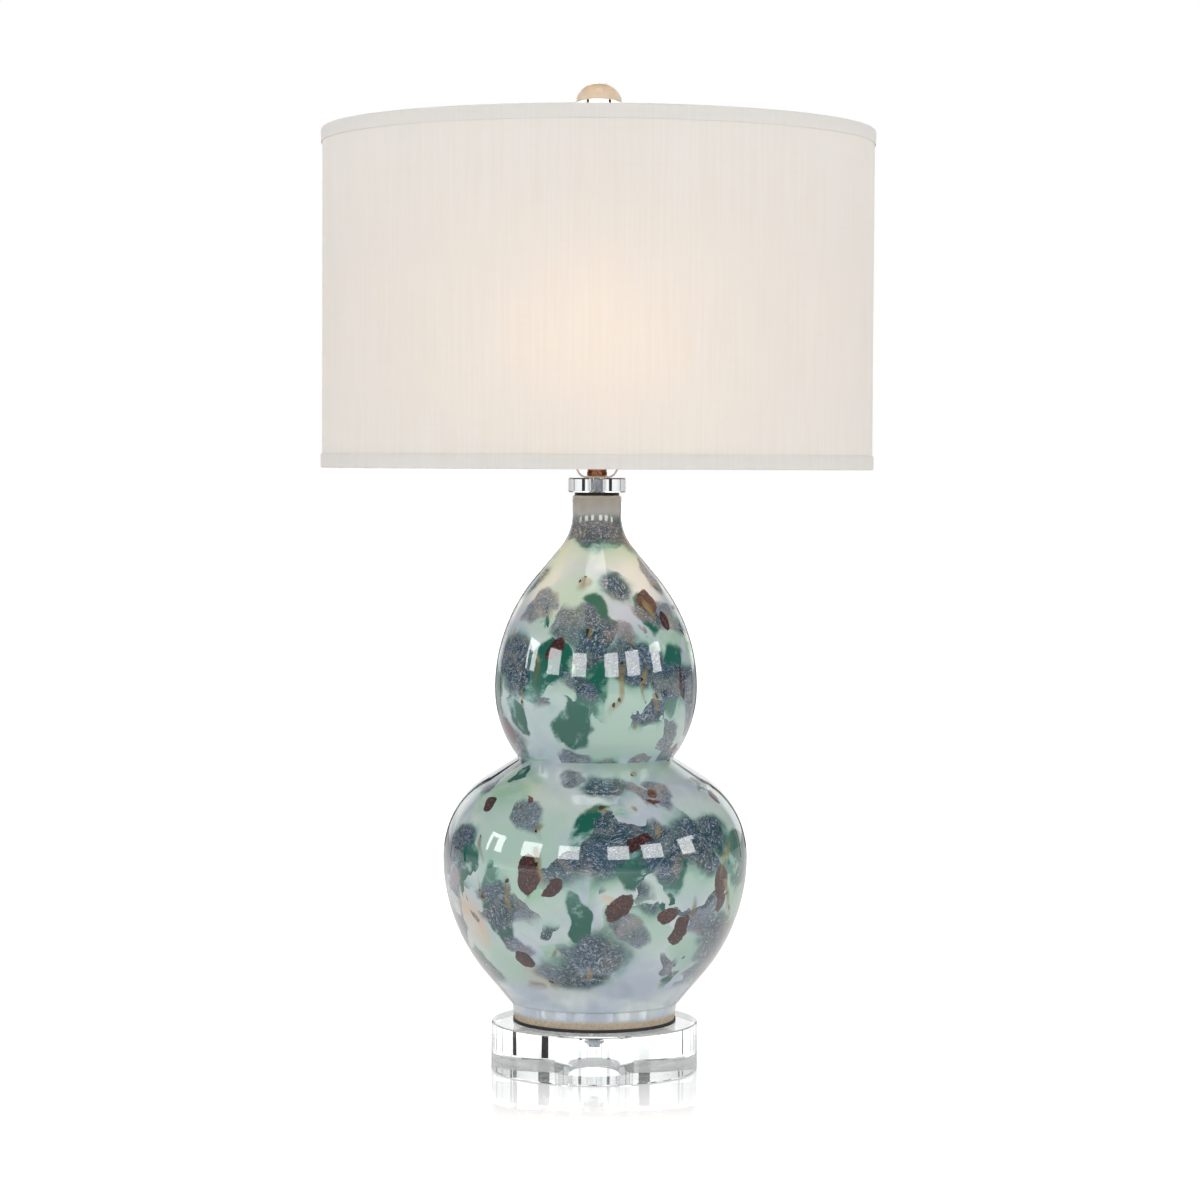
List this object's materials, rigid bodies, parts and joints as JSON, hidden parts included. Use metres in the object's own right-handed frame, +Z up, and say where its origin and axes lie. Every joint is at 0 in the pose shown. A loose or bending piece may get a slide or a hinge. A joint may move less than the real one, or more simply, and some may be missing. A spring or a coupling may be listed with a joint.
{
  "type": "table lamp",
  "caption": "Table lamp with a double gourd glazed ceramic body on a crystal disc, an off-white drum shade on a harp, and a crystal ball finial.",
  "frame": {"origin": "centre of the underside of the crystal base, on the surface that the lamp stands on", "axes": "+Z up along the lamp rod, X along the spread of the harp, +Y to the back where the cord outlet is"},
  "size_m": [0.4584, 0.4584, 0.8208],
  "materials": {
    "crystal": "polished clear optical crystal",
    "glaze": "glossy mottled reactive glaze over a pale blue-grey ground",
    "gasket_black": "matte",
    "dark_metal": "dark lacquered",
    "polished_nickel": "polished plate",
    "zinc_steel": "zinc plated",
    "brass": "satin",
    "fibre": "pressed fibre",
    "socket_moulding": "unglazed",
    "black_plastic": "moulded",
    "bulb_aluminium": "spun",
    "bulb_glass": "frosted white",
    "shade_linen": "fine off-white linen weave with slubs",
    "shade_backing": "translucent sheet",
    "shade_wire": "white coated wire"
  },
  "bodies": {
    "lamp": {"crystal_base": "crystal", "base_gasket": "gasket_black", "base_washer": "zinc_steel", "base_locknut": "zinc_steel", "threaded_rod": "zinc_steel", "vase": "glaze", "cord_bushing": "black_plastic", "vase_check_ring": "dark_metal", "neck_disc": "crystal", "harp_saddle": "polished_nickel", "saddle_nut": "brass", "socket_cap": "brass", "cap_set_screw": "brass", "socket_shell": "brass", "socket_insulator": "fibre", "socket_body": "socket_moulding", "terminal_screws": "brass", "screw_shell": "brass", "centre_contact": "brass"},
    "switch": {"switch_shaft": "brass", "switch_knob": "black_plastic"},
    "bulb": {"bulb_base": "bulb_aluminium", "bulb_contact": "brass", "bulb_glass": "bulb_glass"},
    "harp": {"harp": "polished_nickel"},
    "ferrule_left": {"ferrule_left": "polished_nickel"},
    "ferrule_right": {"ferrule_right": "polished_nickel"},
    "swivel": {"harp_stud": "polished_nickel"},
    "shade": {"shade_spider": "shade_wire", "shade_bottom_ring": "shade_wire", "shade_liner": "shade_backing", "shade_fabric": "shade_linen", "shade_top_trim": "shade_linen", "shade_bottom_trim": "shade_linen"},
    "washer": {"finial_washer": "polished_nickel"},
    "finial": {"finial_base": "polished_nickel", "finial_ball": "crystal"}
  },
  "joints": [
    {"name": "switch_turn", "type": "hinge", "parent": "lamp", "child": "switch", "pos_m": [0, -0.025, 0.526], "axis": [0, -1, 0], "continuous": true},
    {"name": "bulb_lift", "type": "slide", "parent": "lamp", "child": "bulb", "axis": [0, 0, 1], "range_m": [0, 0.03]},
    {"name": "harp_release", "type": "slide", "parent": "lamp", "child": "harp", "axis": [0, 0, 1], "range_m": [0, 0.02]},
    {"name": "ferrule_left_lift", "type": "slide", "parent": "harp", "child": "ferrule_left", "axis": [0, 0, 1], "range_m": [0, 0.014]},
    {"name": "ferrule_right_lift", "type": "slide", "parent": "harp", "child": "ferrule_right", "axis": [0, 0, 1], "range_m": [0, 0.014]},
    {"name": "shade_swivel", "type": "hinge", "parent": "harp", "child": "swivel", "pos_m": [0, 0, 0.77], "axis": [0, 0, 1], "continuous": true},
    {"name": "shade_lift", "type": "slide", "parent": "swivel", "child": "shade", "axis": [0, 0, 1], "range_m": [0, 0.285]},
    {"name": "finial_rise", "type": "slide", "parent": "shade", "child": "washer", "axis": [0, 0, 1], "range_m": [0, 0.0076]},
    {"name": "finial_turn", "type": "hinge", "parent": "washer", "child": "finial", "pos_m": [0, 0, 0.79], "axis": [0, 0, 1], "range_deg": [0, 2880]}
  ],
  "couplings": [
    {"joint": "finial_rise", "follows": "finial_turn", "m_per_rad": 0.00014972}
  ]
}
